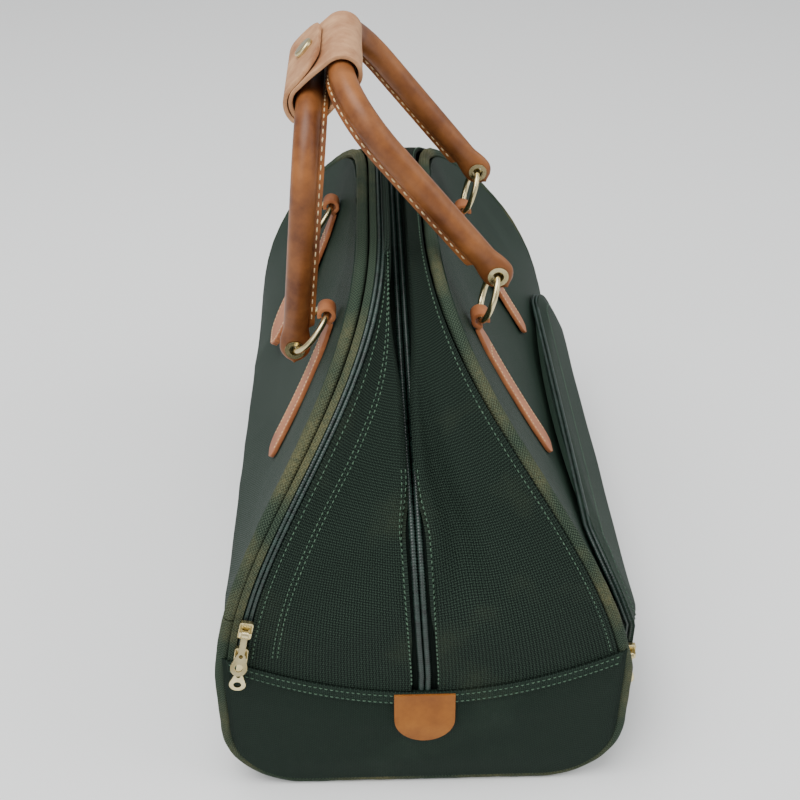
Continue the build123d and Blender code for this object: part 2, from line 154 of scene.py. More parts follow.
def laid(name, across, along, place, size, inside=None):
    """A grid of cloth laid by place(u, w), which gives millimetres. size is its real width and length."""
    bpy.ops.object.select_all(action="DESELECT")
    bpy.ops.mesh.primitive_grid_add(x_subdivisions=across, y_subdivisions=along, size=2)
    obj = bpy.context.object
    obj.name = obj.data.name = name
    mesh, layer = obj.data, obj.data.uv_layers.active.data
    flat = [((v.co.x + 1) / 2, (v.co.y + 1) / 2) for v in mesh.vertices]
    for loop in mesh.loops:
        u, w = flat[loop.vertex_index]
        layer[loop.index].uv = (u * size[0] * MM, w * size[1] * MM)
    for v, (u, w) in zip(mesh.vertices, flat):
        v.co = Vector(place(u, w)) * MM
    if inside is not None:
        middle = Vector(inside) * MM
        if sum((p.center - middle).dot(p.normal) for p in mesh.polygons) < 0:
            mesh.flip_normals()
    return obj


def thick(obj, mm, bevel=0.0):
    modify(obj, "SOLIDIFY", thickness=mm * MM, offset=-1.0, use_even_offset=False)
    if bevel:
        modify(obj, "BEVEL", width=bevel * MM, segments=2, limit_method="ANGLE", angle_limit=radians(50))
    return soft(obj)


def soft(obj, angle=45):
    only(obj)
    bpy.ops.object.shade_smooth_by_angle(angle=radians(angle))
    return obj


def closed(obj):
    in_edit(obj, lambda: bpy.ops.mesh.remove_doubles(threshold=2e-6),
            lambda: bpy.ops.mesh.fill_holes(sides=0),
            lambda: bpy.ops.mesh.normals_make_consistent(inside=False))
    return obj


def evenly(points, step):
    """The same line with points a fixed step apart."""
    out, left = [Vector(points[0])], step
    for a, b in zip(points, points[1:]):
        a, b = Vector(a), Vector(b)
        run, at = (b - a).length, 0.0
        while run - at >= left:
            at += left
            out.append(a + (b - a) * (at / run))
            left = step
        left -= run - at
    return out


def frames(points, start_side):
    """A sideways direction at each point of a line that doesn't twist along it."""
    side, out = Vector(start_side), []
    for k, p in enumerate(points):
        t = (points[min(k + 1, len(points) - 1)] - points[max(k - 1, 0)]).normalized()
        side = (side - t * side.dot(t)).normalized()
        out.append((p, side.copy(), t.cross(side)))
    return out


def tube(name, points, radius, sides=12, step=2.0, start_side=(0, 1, 0)):
    """A round cord along a line. radius(s, angle) is in millimetres."""
    line = frames(evenly(points, step), start_side)
    last = len(line) - 1

    def place(u, w):
        k = round(w * last)
        p, a, b = line[k]
        turn = 2 * pi * u
        r = radius(k * step, turn)
        return p + (a * cos(turn) + b * sin(turn)) * r

    return soft(closed(laid(name, sides, last, place, (2 * pi * radius(0, 0), last * step))), 60)


def stitches(name, line, pitch, length, width, lift=0.2):
    """A row of thread stitches. line is a list of (point, normal) in millimetres, closely spaced."""
    bpy.ops.object.select_all(action="DESELECT")
    bpy.ops.mesh.primitive_uv_sphere_add(segments=6, ring_count=4, radius=1)
    one = bpy.context.object
    corners = [v.co.copy() for v in one.data.vertices]
    faces = [tuple(p.vertices) for p in one.data.polygons]
    bpy.data.objects.remove(one)
    verts, polys, travelled, due = [], [], 0.0, pitch / 2
    for (p, n), (q, _) in zip(line, line[1:]):
        p, q = Vector(p), Vector(q)
        run = (q - p).length
        while run and travelled + run >= due:
            at = p + (q - p) * ((due - travelled) / run)
            n = Vector(n).normalized()
            t = (q - p).normalized()
            b = n.cross(t)
            base = len(verts)
            for c in corners:
                # the ends of a stitch dive into the cloth
                dip = -abs(c.z) ** 3 * width * 0.7
                verts.append((at + t * c.z * length / 2 + b * c.x * width / 2
                              + n * (c.y * width / 2 + lift + dip)) * MM)
            polys += [tuple(base + i for i in f) for f in faces]
            due += pitch
        travelled += run
    mesh = bpy.data.meshes.new(name)
    mesh.from_pydata(verts, [], polys)
    obj = bpy.data.objects.new(name, mesh)
    bpy.context.collection.objects.link(obj)
    in_edit(obj, lambda: bpy.ops.mesh.normals_make_consistent(inside=False))
    return soft(obj, 80)


# %% [markdown]
# A finish starts from what the real material is. Threads, grain and grit are given in millimetres,
# and the colours are the ones a screen shows, turned to linear light by one function.

# %% Helpers for finishes
def hex_colour(text):
    parts = [int(text[k:k + 2], 16) / 255 for k in (0, 2, 4)]
    return (*[c / 12.92 if c <= 0.04045 else ((c + 0.055) / 1.055) ** 2.4 for c in parts], 1.0)


def add(material, kind, links=(), **settings):
    """Adds a node. settings set its properties or its inputs; links are (input, output socket)."""
    node = material.node_tree.nodes.new(kind)
    for key, value in settings.items():
        name = key.replace("_", " ")
        found = [i for i in node.inputs if i.name.lower() == name.lower()]
        if hasattr(node, key):
            setattr(node, key, value)
        elif found:
            found[0].default_value = value
    for key, output in links:
        material.node_tree.links.new(node.inputs[key], output)
    return node


def finish(name, roughness, metallic=0.0, **sockets):
    material = bpy.data.materials.new(name)
    material.use_nodes = True
    shader = material.node_tree.nodes["Principled BSDF"]
    shader.inputs["Roughness"].default_value = roughness
    shader.inputs["Metallic"].default_value = metallic
    for key, value in sockets.items():
        shader.inputs[key.replace("_", " ")].default_value = value
    return material, shader


def ramp(material, source, low, high, a=0.3, b=0.7):
    node = add(material, "ShaderNodeValToRGB", [("Fac", source)])
    node.color_ramp.elements[0].position, node.color_ramp.elements[0].color = a, hex_colour(low)
    node.color_ramp.elements[1].position, node.color_ramp.elements[1].color = b, hex_colour(high)
    return node


def woven(name, dark, light, glint, thread, depth, roughness, glint_from=0.62, diagonal=False):
    """Cloth of warp and weft threads, thread mm apart, lying on the piece's own map."""
    m, shader = finish(name, roughness, Specular_IOR_Level=0.07)
    uv = add(m, "ShaderNodeUVMap").outputs["UV"]
    turned = add(m, "ShaderNodeMapping", [("Vector", uv)])
    turned.inputs["Rotation"].default_value = (0, 0, radians(45) if diagonal else 0)
    at = turned.outputs["Vector"]
    per = 1 / (thread * MM)
    check = add(m, "ShaderNodeTexChecker", [("Vector", at)], Scale=per).outputs["Fac"]
    waves = [add(m, "ShaderNodeTexWave", [("Vector", at)], bands_direction=d, Scale=per * pi / 10,
                 Distortion=0.6).outputs["Fac"] for d in "XY"]
    mix = add(m, "ShaderNodeMix", [("Factor", check), (2, waves[0]), (3, waves[1])], data_type="FLOAT")
    weave = mix.outputs[0]
    obj = add(m, "ShaderNodeTexCoord").outputs["Object"]
    patch = add(m, "ShaderNodeTexNoise", [("Vector", obj)], Scale=14, Detail=4).outputs["Fac"]
    speck = add(m, "ShaderNodeTexNoise", [("Vector", obj)], Scale=420, Detail=2).outputs["Fac"]
    base = ramp(m, weave, dark, light, 0.15, 0.95).outputs["Color"]
    # painted highlight: speckled patches of a lighter colour stand in for the sheen of the threads
    glint_patches = add(m, "ShaderNodeMapRange", [("Value", patch)]).outputs[0]
    m.node_tree.nodes[-1].inputs["From Min"].default_value = glint_from
    m.node_tree.nodes[-1].inputs["From Max"].default_value = glint_from + 0.22
    glint_mask = add(m, "ShaderNodeMath", [(0, glint_patches), (1, speck)], operation="MULTIPLY").outputs[0]
    colour = add(m, "ShaderNodeMix", [("Factor", glint_mask), (6, base)], data_type="RGBA")
    colour.inputs[7].default_value = hex_colour(glint)
    m.node_tree.links.new(shader.inputs["Base Color"], colour.outputs[2])
    bump = add(m, "ShaderNodeBump", [("Height", weave)], Strength=0.9, Distance=depth * MM)
    m.node_tree.links.new(shader.inputs["Normal"], bump.outputs["Normal"])
    return m


def leather(name, dark, light, grain, roughness, coat=0.0):
    """Cowhide: pores grain mm apart, with slow changes of the dye."""
    m, shader = finish(name, roughness, IOR=1.45, Specular_IOR_Level=0.3, Coat_Weight=coat,
                       Coat_Roughness=0.35)
    obj = add(m, "ShaderNodeTexCoord").outputs["Object"]
    cloud = add(m, "ShaderNodeTexNoise", [("Vector", obj)], Scale=45, Detail=6, Roughness=0.6).outputs["Fac"]
    pores = add(m, "ShaderNodeTexVoronoi", [("Vector", obj)], Scale=1 / (grain * MM)).outputs["Distance"]
    fine = add(m, "ShaderNodeTexNoise", [("Vector", obj)], Scale=600, Detail=3).outputs["Fac"]
    dye = ramp(m, cloud, dark, light, 0.32, 0.68).outputs["Color"]
    m.node_tree.links.new(shader.inputs["Base Color"], dye)
    rough = add(m, "ShaderNodeMapRange", [("Value", cloud)])
    rough.inputs["To Min"].default_value = roughness - 0.08
    rough.inputs["To Max"].default_value = roughness + 0.12
    m.node_tree.links.new(shader.inputs["Roughness"], rough.outputs[0])
    height = add(m, "ShaderNodeMath", [(0, pores), (1, fine)], operation="ADD").outputs[0]
    bump = add(m, "ShaderNodeBump", [("Height", height)], Strength=0.25, Distance=0.12 * MM)
    m.node_tree.links.new(shader.inputs["Normal"], bump.outputs["Normal"])
    return m


def plain(name, dark, light, scale, roughness, metallic=0.0, depth=0.05):
    """A material without a pattern: slow changes of colour and a slight bump, depth mm high."""
    m, shader = finish(name, roughness, metallic)
    obj = add(m, "ShaderNodeTexCoord").outputs["Object"]
    noise = add(m, "ShaderNodeTexNoise", [("Vector", obj)], Scale=scale, Detail=4).outputs["Fac"]
    m.node_tree.links.new(shader.inputs["Base Color"], ramp(m, noise, dark, light).outputs["Color"])
    bump = add(m, "ShaderNodeBump", [("Height", noise)], Strength=0.3, Distance=depth * MM)
    m.node_tree.links.new(shader.inputs["Normal"], bump.outputs["Normal"])
    return m


# %% [markdown]
# The body is coated nylon, the gussets a coarser basket weave. On each cloth, speckled patches of a lighter
# olive colour are a painted highlight standing in for the sheen of its threads. Real threads are about 0.5
# mm, too fine to show, so they are drawn at 0.8 to 1.7 mm.

# %% Finishes
# the third colour of each cloth is its painted highlight, mixed in by speckled patches
nylon = woven("coated_nylon", "19241D", "2B3A31", "313E35", 1.1, 0.25, 0.6)
twill = woven("basket_weave_nylon", "0F1613", "2B382F", "383F30", 1.7, 0.6, 0.75, glint_from=0.56)
band_cloth = woven("base_nylon", "131D17", "202D25", "2B372E", 1.1, 0.2, 0.6)
trim_cloth = woven("bound_edge_tape", "151E19", "2C3A31", "434A34", 1.2, 0.4, 0.75)
piping_cloth = woven("piping_cloth", "1D2821", "435041", "726C4A", 1.5, 0.6, 0.75, glint_from=0.46,
                     diagonal=True)
tape_cloth = woven("zipper_tape", "080D0B", "141E19", "1C2621", 0.9, 0.15, 0.8)
lining_cloth = woven("lining_cloth", "15160F", "26281F", "2C2E24", 0.8, 0.1, 0.8)
coil_plastic = plain("nylon_coil", "0B1512", "22352E", 300, 0.38)
handle_leather = leather("rolled_saddle_leather", "5A3117", "8A552B", 0.8, 0.42, 0.10)
strap_leather = leather("strap_leather", "84492A", "AE6F46", 0.7, 0.55)
wrap_leather = leather("wrap_leather", "8F6040", "C2966E", 0.7, 0.66)
tab_leather = leather("tab_leather", "784312", "965D20", 0.7, 0.55)
brass = plain("pale_plated_brass", "B8A878", "E0D3A6", 90, 0.26, 1.0, 0.02)
green_thread = plain("green_thread", "2C4636", "45604A", 500, 0.7)
cream_thread = plain("cream_waxed_thread", "B99A6C", "DEC79C", 500, 0.6)
board_plastic = plain("base_board_plastic", "16140F", "2A2620", 60, 0.6)
print("finishes", len([m for m in bpy.data.materials if m.users]))


def dress(obj, material):
    obj.data.materials.clear()
    obj.data.materials.append(material)
    return obj


# the two bodies of each fold, and the heights in metres between which one passes into the other
FOLD = {"front": ("base", "front_wall", (0, 0, 0.100), (0, 0, 0.150)),
        "lid": ("front_wall", "front_lid", (0, 0, 0.150), (0, 0, 0.157)),
        "back": ("base", "back_wall", (0, 0, 0.100), (0, 0, 0.160))}


def settle(obj, material, slot, where, *nodes):
    """Finish, body and the CAD nodes that a piece stands for."""
    dress(obj, material)
    if where in FOLD:
        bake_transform(obj)
    else:
        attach(obj, where)
    if nodes:
        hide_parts(*nodes)
    return obj


# %% [markdown]
# The metal pieces and the board keep their CAD mesh and get a new material.

# %% Metal from the frame
slots = {s["node"]: s["material_slot"] for s in frame["record"]["subparts"]}
for name, node in frame["nodes"].items():
    keep = {"brass": brass, "board": board_plastic}.get(slots[name])
    if keep is not None:
        node.data.materials.clear()
        node.data.materials.append(keep)
print("metal nodes", sum(1 for s in slots.values() if s == "brass"))


# %% [markdown]
# Each wall is one piece of nylon from the middle of the base, round the lower edge and up to the
# crown. The front is split at the fold, because the pocket's lid opens there.

# %% Walls
SKIN = 7.0
NYLON_T, LINING_T, END_T, GUSSET_T, TAPE_T = 3.0, 1.6, 2.4, 2.2, 0.8
FINE_STITCH = (3.6, 2.5, 0.8)
INNER_DEPTH, INNER_MARGIN = 16.5, 12


def u_run(side, d):
    """y and z at distance d from the middle of the base, round the lower edge and up."""
    flat, arc = half_width - corner, corner * pi / 2
    if d < flat:
        return side * d, 0.0
    if d < flat + arc:
        a = (d - flat) / corner
        return side * (flat + corner * sin(a)), corner * (1 - cos(a))
    return side * half_width, corner + d - flat - arc


LOWER = half_width - corner + corner * pi / 2


def half_at(z):
    """Half the wall's length at height z."""
    r = crown - SKIN
    return centre_x + sqrt(max(r * r - max(z - spring, 0.0) ** 2, 0.0))


def skin(side, low, high):
    """Lays a wall between two distances up from the middle of the base."""
    def place(u, w):
        d = low + (high - low) * w
        if d <= LOWER + lean_height - corner:
            y, z = u_run(side, d)
        else:
            z = corner + d - LOWER
            # rows come closer towards the crown, where the outline turns fastest
            z0, z1 = max(corner + low - LOWER, lean_height), corner + high - LOWER
            z = z0 + (z1 - z0) * sin((z - z0) / (z1 - z0) * pi / 2) if high > LOWER + 180 else z
            y = None
        x = (2 * u - 1) * (half_at(z) if z > spring else half_length - SKIN)
        fade = smooth((z - 60) / 60) * smooth((1 - abs(2 * u - 1)) * 6)
        if y is None:
            y = wall_y(side, x, z)
        return (x, y - side * abs(ripple(x, z, 1.6)) * fade, z)
    return place


def height_run(z):
    return LOWER + z - corner


TOP = body_height - SKIN
front_lower = laid("front_lower_cloth", 90, 60, skin(FRONT, 0, height_run(fold_height)),
                   (446, 257), (0, 0, 100))
settle(thick(front_lower, NYLON_T), nylon, "body_nylon", "front")
front_lid = laid("front_lid_cloth", 110, 60, skin(FRONT, height_run(fold_height), height_run(TOP)),
                 (446, 180), (0, 0, 150))
settle(thick(front_lid, NYLON_T), nylon, "body_nylon", "lid", "front_panel")
back_cloth = laid("back_wall_cloth", 110, 130, skin(BACK, 0, height_run(TOP)), (446, 430), (0, 0, 100))
settle(thick(back_cloth, NYLON_T), nylon, "body_nylon", "back", "back_panel", "bottom_panel")


def inner_place(u, w):
    z = fold_height + (TOP - INNER_MARGIN - fold_height) * w
    y = wall_y(FRONT, (2 * u - 1) * 200, z, INNER_DEPTH)
    return ((2 * u - 1) * (half_at(z) - INNER_MARGIN), y, z)


inner = laid("pocket_back_wall", 60, 40, inner_place, (420, 150), (0, 0, 150))
settle(thick(inner, LINING_T), lining_cloth, "lining", "front", "front_inner_wall")
print("walls", [len(o.data.polygons) for o in (front_lower, front_lid, back_cloth)])


# %% [markdown]
# The band at the foot of each end has an edge that dips in the middle, bound with tape and sewn with
# two rows. The end cloth starts under it, and the band swells a little over the base.

# %% End bands
BAND_LOW, BAND_RISE, BAND_REACH = 86.0, 33.0, 121.0
BAND_INSET, BINDING_HALF = 6.5, 120


def band_top(y):
    return BAND_LOW + BAND_RISE * (y / BAND_REACH) ** 2


def band_x(y, z):
    swell = 3.0 * max(0.0, 1 - (y / BAND_REACH) ** 2) * smooth(z / 30) * smooth((band_top(y) - z) / 30)
    return half_length + 0.4 + swell


def band_place(end):
    def place(u, w):
        y = (2 * u - 1) * (half_width - BAND_INSET)
        inner_corner = corner - BAND_INSET
        over = abs(y) - (half_width - corner)
        low = BAND_INSET if over < 0 else corner - sqrt(max(inner_corner ** 2 - over ** 2, 0.0))
        z = low + (band_top(y) - low) * w
        return (end * band_x(y, z), y, z)
    return place


def along_band(end, below, out):
    """Points and normals below the band's edge."""
    reach = BINDING_HALF - 1
    ys = [-reach + 2 * reach * k / 240 for k in range(241)]
    return [((end * (band_x(y, band_top(y) - below) + out), y, band_top(y) - below), (end, 0, 0)) for y in ys]


def binding_place(end):
    def place(u, w):
        y = (2 * u - 1) * BINDING_HALF
        return (end * (band_x(y, band_top(y) - 10 * w) + 1.2), y, band_top(y) + 1 - 10 * w)
    return place


for end, word in ((1, "near"), (-1, "far")):
    band = laid(word + "_end_cloth", 100, 36, band_place(end), (245, 110), (0, 0, 50))
    settle(thick(band, END_T), band_cloth, "band_nylon", "base", word + "_end_band")
    binding = laid(word + "_bound_edge", 120, 4, binding_place(end), (250, 10), (0, 0, 80))
    settle(thick(binding, 1.0, 0.3), trim_cloth, "band_nylon", "base")
    for row, below in enumerate((1.8, 7.4)):
        sewn = stitches(f"{word}_band_stitch_{row}", along_band(end, below, 1.4), 3.4, 2.4, 0.8)
        settle(sewn, green_thread, "band_nylon", "base")
print("end bands 2")


# %% [markdown]
# The gusset runs from the piping to the main zipper and falls into a valley between the walls.
# It is laid along the whole outline, from one foot over the top to the other.

# %% Gussets
def bump(z, low, full, high, end):
    return smooth((z - low) / (full - low)) * (1 - smooth((z - high) / (end - high)))


def lip_gap(z):
    """Half the slot between the two gussets: open at the foot and the crown, pinched between."""
    return 8.6 - 6.6 * bump(z, 195, 238, 262, 300) - 2.4 * smooth((z - 262) / 38)


def gusset_point(side, s, t, outer_inset):
    """A point of the gusset: s along the outline, t from the piping (0) to the zipper (1)."""
    x, z, out = rim(s)
    edge = wall_y(side, x, z, outer_inset)
    deep = valley(z)
    low_x, low_z = x - out.x * deep, z - out.z * deep
    inner_y = middle_y(low_x, low_z) + side * max(4.6, lip_gap(z) - 0.5)
    lip_y = middle_y(x, z) + side * lip_gap(z)
    turn = 0.84
    y = edge + (lip_y - edge) * t / turn if t < turn else lip_y + (inner_y - lip_y) * (t - turn) / (1 - turn)
    fall = deep * smooth((t - turn + 0.10) / (1.1 - turn))
    # slack cloth hangs in between its seams, and the back half creases beside the slot
    hang = sin(pi * t) * 8.0 * bump(z, 115, 185, 230, 305)
    if side == BACK:
        hang += 10.0 * bump(z, 130, 200, 235, 295) * 2.718 ** (-((t - 0.68) / 0.11) ** 2)
    uneven = ripple(z * 1.4, t * 90 + side * 40, 2.6) * sin(pi * t) * smooth((z - 95) / 40)
    return Vector((x, y, z)) - out * (fall + hang - uneven)


def gusset(name, side, outer_inset, where, *nodes):
    def place(u, w):
        foot = band_top(wall_y(side, half_length, 95, outer_inset) * (1 - u)) - 7
        return gusset_point(side, foot + (RIM - 2 * foot) * w, u, outer_inset)
    obj = laid(name, 44, 320, place, (105, RIM - 180), (0, 0, 100))
    return settle(thick(obj, GUSSET_T), twill, "gusset_twill", where, *nodes)


FRONT_EDGE, BACK_EDGE = 19.1, 8.0
gusset("front_gusset_cloth", FRONT, FRONT_EDGE, "front",
       "front_gusset", "near_lower_gusset", "far_lower_gusset")
gusset("back_gusset_cloth", BACK, BACK_EDGE, "back", "back_gusset")


def gusset_line(side, outer_inset, from_edge, distance, z_low, z_high, far=False):
    """A line on the gusset at a distance from its outer edge, or from the zipper."""
    out = []
    s0, s1 = rim_at(z_low), (RIM - rim_at(z_low) if z_high is None else rim_at(z_high))
    for k in range(241):
        s = s0 + (s1 - s0) * k / 240
        s = RIM - s if far else s
        wide = (gusset_point(side, s, 1, outer_inset) - gusset_point(side, s, 0, outer_inset)).length
        t = distance / wide if from_edge else 1 - distance / wide
        if 0 < t < 1:
            p = gusset_point(side, s, t, outer_inset)
            q = gusset_point(side, s, t + 0.02, outer_inset) - p
            r = gusset_point(side, s + 1, t, outer_inset) - p
            n = q.cross(r).normalized()
            if n.dot(rim(s)[2]) < 0:
                n = -n
            out.append((p, n))
    return out


rows = 0
for side, inset, label, edges in ((FRONT, FRONT_EDGE, "front", (3.0, 13.0, 15.6)),
                                  (BACK, BACK_EDGE, "back", (3.4,))):
    for k, d in enumerate(edges):
        line = gusset_line(side, inset, True, d, 118, None)
        settle(stitches(f"{label}_edge_stitch_{k}", line, *FINE_STITCH), green_thread, "gusset_twill", label)
        rows += 1
    for far in (False, True):
        for k, d in enumerate((2.2, 9.4, 11.6)):
            line = gusset_line(side, inset, False, d, 92, 236, far)
            name = f"{label}_{'far' if far else 'near'}_hem_stitch_{k}"
            settle(stitches(name, line, *FINE_STITCH), green_thread, "gusset_twill", label)
            rows += 1
print("gusset stitch rows", rows)


# %% [markdown]
# The narrow cloth between the piping and the pocket's zipper belongs to the lid, so it is cut at the
# fold as the lid is.

# %% Narrow strip beside the pocket zipper
def narrow_place(s0, s1, a, b, sink=0.0):
    def place(u, w):
        x, z, out = rim(s0 + (s1 - s0) * w)
        return Vector((x, wall_y(FRONT, x, z, a + (b - a) * u), z)) - out * sink
    return place


FOLD_S, FOOT_S = rim_at(fold_height), 104.0
TAPE_SINK = 1.4
spans = {"lid": ("lid", FOLD_S, RIM - FOLD_S), "near": ("front", FOOT_S, FOLD_S),
         "far": ("front", RIM - FOLD_S, RIM - FOOT_S)}
for word, (where, s0, s1) in spans.items():
    stands_for = ["front_lid_gusset"] if word == "lid" else []
    count = max(int((s1 - s0) / 4), 8)
    strip = laid(word + "_zipper_strip", 4, count, narrow_place(s0, s1, 7.6, 12.2), (5, s1 - s0), (0, 0, 100))
    settle(thick(strip, 2.0, 0.3), piping_cloth, "gusset_twill", where, *stands_for)
    tape = laid(word + "_lid_tape", 3, count, narrow_place(s0, s1, 11.6, 15.4, TAPE_SINK),
                (4, s1 - s0), (0, 0, 100))
    settle(thick(tape, TAPE_T), tape_cloth, "zipper_coil", where)
pocket_tape = laid("pocket_wall_tape", 3, 220, narrow_place(FOOT_S, RIM - FOOT_S, 15.6, 19.6, TAPE_SINK),
                   (4, 900), (0, 0, 100))
settle(thick(pocket_tape, TAPE_T), tape_cloth, "zipper_coil", "front")


# %% [markdown]
# Piping is a cord covered with bias-cut cloth, sewn into the edge of each wall.

# %% Piping
PIPE = 4.0


def under(side, x):
    """The piping's line from the middle of the base to the upright part of the wall."""
    flat, r, out = half_width - corner, corner - PIPE, []
    out += [Vector((x, side * y, PIPE)) for y in range(0, int(flat), 4)]
    for k in range(25):
        a = pi / 2 * k / 24
        out.append(Vector((x, side * (flat + r * sin(a)), corner - r * cos(a))))
    return out


def up_line(side, inset, s0, s1, drop):
    """Points 2 mm apart beside the outline, drop inside it, at inset from a wall's outer face."""
    out, n = [], max(int(abs(s1 - s0) / 2), 2)
    for k in range(n + 1):
        x, z, _ = rim(s0 + (s1 - s0) * k / n, drop)
        out.append(Vector((x, wall_y(side, x, z, inset), z)))
    return out


def pipe_radius(s, turn):
    return PIPE * (1 + 0.02 * sin(s / 9) + 0.018 * sin(s / 3.1 + 2 * turn))


pipe_x = half_length - PIPE
back_line = (under(BACK, pipe_x) + up_line(BACK, PIPE, corner + 2, RIM - corner - 2, PIPE)
             + list(reversed(under(BACK, -pipe_x))))
crown_line = up_line(FRONT, PIPE, FOLD_S, RIM - FOLD_S, PIPE)
near_line = under(FRONT, pipe_x) + up_line(FRONT, PIPE, corner + 2, FOLD_S, PIPE)
far_line = under(FRONT, -pipe_x) + up_line(FRONT, PIPE, RIM - corner - 2, RIM - FOLD_S, PIPE)
back_cord = tube("back_piping_cord", back_line, pipe_radius, start_side=(1, 0, 0))
settle(back_cord, piping_cloth, "piping", "back", "back_piping", "near_base_piping", "far_base_piping")
settle(tube("front_piping_cord", crown_line, pipe_radius), piping_cloth, "piping", "lid", "front_piping")
for word, line in (("near", near_line), ("far", far_line)):
    cord = tube(word + "_piping_cord", line, pipe_radius, start_side=(1, 0, 0))
    settle(cord, piping_cloth, "piping", "front")
print("piping 4 cords")


# %% [markdown]
# A coil zipper is a nylon spiral sewn to each tape. Each half is drawn as a cord with a ring every
# 1.8 mm, which is what the eye takes for teeth.

# %% Zipper coils
def coil_radius(base):
    return lambda s, turn: base * (0.86 + 0.24 * (0.5 + 0.5 * cos(2 * pi * s / 1.8 + 0.6 * sin(turn))))


def coil(name, line, base, where, *nodes):
    obj = tube(name, line, coil_radius(base), sides=8, step=0.45)
    return settle(obj, coil_plastic, "zipper_coil", where, *nodes)


LID_COIL, WALL_COIL, COIL_FOOT = 14.0, 17.0, 112
COIL_R, MAIN_COIL_R = 1.3, 1.9
for name, inset, s0, s1, where, node in (
        ("lid_coil_teeth", LID_COIL, FOLD_S, RIM - FOLD_S, "lid", "front_lid_coil"),
        ("near_lid_coil_teeth", LID_COIL, COIL_FOOT, FOLD_S, "front", "near_front_coil_foot"),
        ("far_lid_coil_teeth", LID_COIL, RIM - FOLD_S, RIM - COIL_FOOT, "front", "far_front_coil_foot"),
        ("wall_coil_teeth", WALL_COIL, COIL_FOOT, RIM - COIL_FOOT, "front", "front_gusset_coil")):
    coil(name, up_line(FRONT, inset, s0, s1, COIL_R), COIL_R, where, node)


MAIN_FOOT, MAIN_TAPE_FOOT = 84, 80


def slot_point(s, below):
    """x, z and the outward direction on the main zipper's line, below the valley's floor."""
    x, z, out = rim(s)
    deep = valley(z) + below
    return x - out.x * deep, z - out.z * deep, out


def main_line(side):
    line = []
    for k in range(481):
        x, z, _ = slot_point(MAIN_FOOT + (RIM - 2 * MAIN_FOOT) * k / 480, 2.2)
        line.append(Vector((x, middle_y(x, z) + side * 2.1, z)))
    return line


coil("front_main_teeth", main_line(FRONT), MAIN_COIL_R, "front",
     "front_main_coil", "near_main_coil_foot", "far_main_coil_foot")
coil("back_main_teeth", main_line(BACK), MAIN_COIL_R, "back", "back_main_coil")


def main_tape(side):
    def place(u, w):
        x, z, out = slot_point(MAIN_TAPE_FOOT + (RIM - 2 * MAIN_TAPE_FOOT) * w, 2.6)
        return Vector((x, middle_y(x, z) + side * (0.3 + 11 * u), z)) - out * 0.8
    return place


for side, label in ((FRONT, "front"), (BACK, "back")):
    tape = laid(label + "_main_tape", 4, 300, main_tape(side), (9, 900), (0, 0, 100))
    settle(thick(tape, TAPE_T), tape_cloth, "zipper_coil", label)
print("coils 6")


# %% [markdown]
# The wide pocket at the back is a soft pillow with round upper corners and its own zipper.

# %% Back pocket
P_HALF, P_LOW, P_HIGH, P_CORNER, PILLOW_T = 190.0, 54.0, 146.0, 46.0, 3.4


def pocket_half(z):
    over = z - (P_HIGH - P_CORNER)
    return P_HALF - P_CORNER + (sqrt(max(P_CORNER ** 2 - over * over, 0.0)) if over > 0 else P_CORNER)


def pocket_y(x, z):
    """The pillow's outer face, which falls away towards its rim."""
    rim_fall = smooth((1 - abs(x) / pocket_half(z)) * 9) * smooth((P_HIGH - z) / 12 + 0.001)
    return wall_y(BACK, x, z) + 8.2 + 3.6 * rim_fall + ripple(x, z, 0.6) * rim_fall


def pocket_place(u, w):
    z = P_LOW + (P_HIGH - 0.2 - P_LOW) * sin(w * pi / 2)
    x = (2 * u - 1) * pocket_half(z)
    return (x, pocket_y(x, z), z)


pillow = laid("back_pocket_cloth", 100, 40, pocket_place, (380, 95), (0, 0, 100))
settle(thick(pillow, PILLOW_T), nylon, "body_nylon", "pocket_lid", "pocket_flap")


def pocket_line(out, inset=COIL_R):
    half, high, r = P_HALF - inset, P_HIGH - inset, P_CORNER - inset
    line = [(half, z) for z in range(55, 100, 3)]
    line += [(half - r + r * cos(pi / 2 * k / 20), high - r + r * sin(pi / 2 * k / 20)) for k in range(21)]
    line += [(-x, z) for x, z in reversed(line)]
    return [Vector((x, wall_y(BACK, x, z) + out, z)) for x, z in line]


coil("pocket_lid_teeth", pocket_line(5.9), COIL_R, "pocket_lid", "pocket_flap_coil")
coil("pocket_wall_teeth", pocket_line(2.9), COIL_R, "back", "pocket_panel_coil")
seam = [((p.x, pocket_y(p.x, p.z), p.z), (0, 1, 0)) for p in pocket_line(0, inset=9.0)]
settle(stitches("pocket_seam", seam, *FINE_STITCH), green_thread, "body_nylon", "pocket_lid")
print("back pocket done")


# %% [markdown]
# Leather straps hold the rings. One strip lies on the wall, rounded at its foot, then narrows and
# turns round the ring. Its edge is sewn all round.

# %% Ring and handle places
STRAP_X, RING_R, LOOP_R, HANDLE_RISE = 78.0, 16.5, 5.8, 149.0
RING_ANGLE = {FRONT: 140.0, BACK: -17.0}
HANDLE_ANGLE = {FRONT: -5.4, BACK: 39.5}


def direction(angle):
    return Vector((0, -sin(radians(angle)), cos(radians(angle))))


def wall_normal(side, x, z):
    slope = (wall_y(side, x, z + 1) - wall_y(side, x, z - 1)) / 2
    return Vector((0, side, -side * slope)).normalized()


def loop_centre(side):
    z = 268.0 if side == FRONT else 262.0
    return Vector((0, wall_y(side, STRAP_X, z), z)) + wall_normal(side, STRAP_X, z) * (LOOP_R + 0.7)


def eyelet(side):
    return loop_centre(side) + direction(RING_ANGLE[side]) * 2 * RING_R


def grip(side):
    return eyelet(side) + direction(HANDLE_ANGLE[side]) * HANDLE_RISE


print("eyelets", [tuple(round(c, 1) for c in eyelet(s)) for s in (FRONT, BACK)])


# %% Straps
STRAP_FOOT, STRAP_HALF, STRAP_T, STRAP_STEP = 158.0, 11.0, 2.6, 1.5
STRAP_ROUND, TURN_BELOW = 10.0, 7


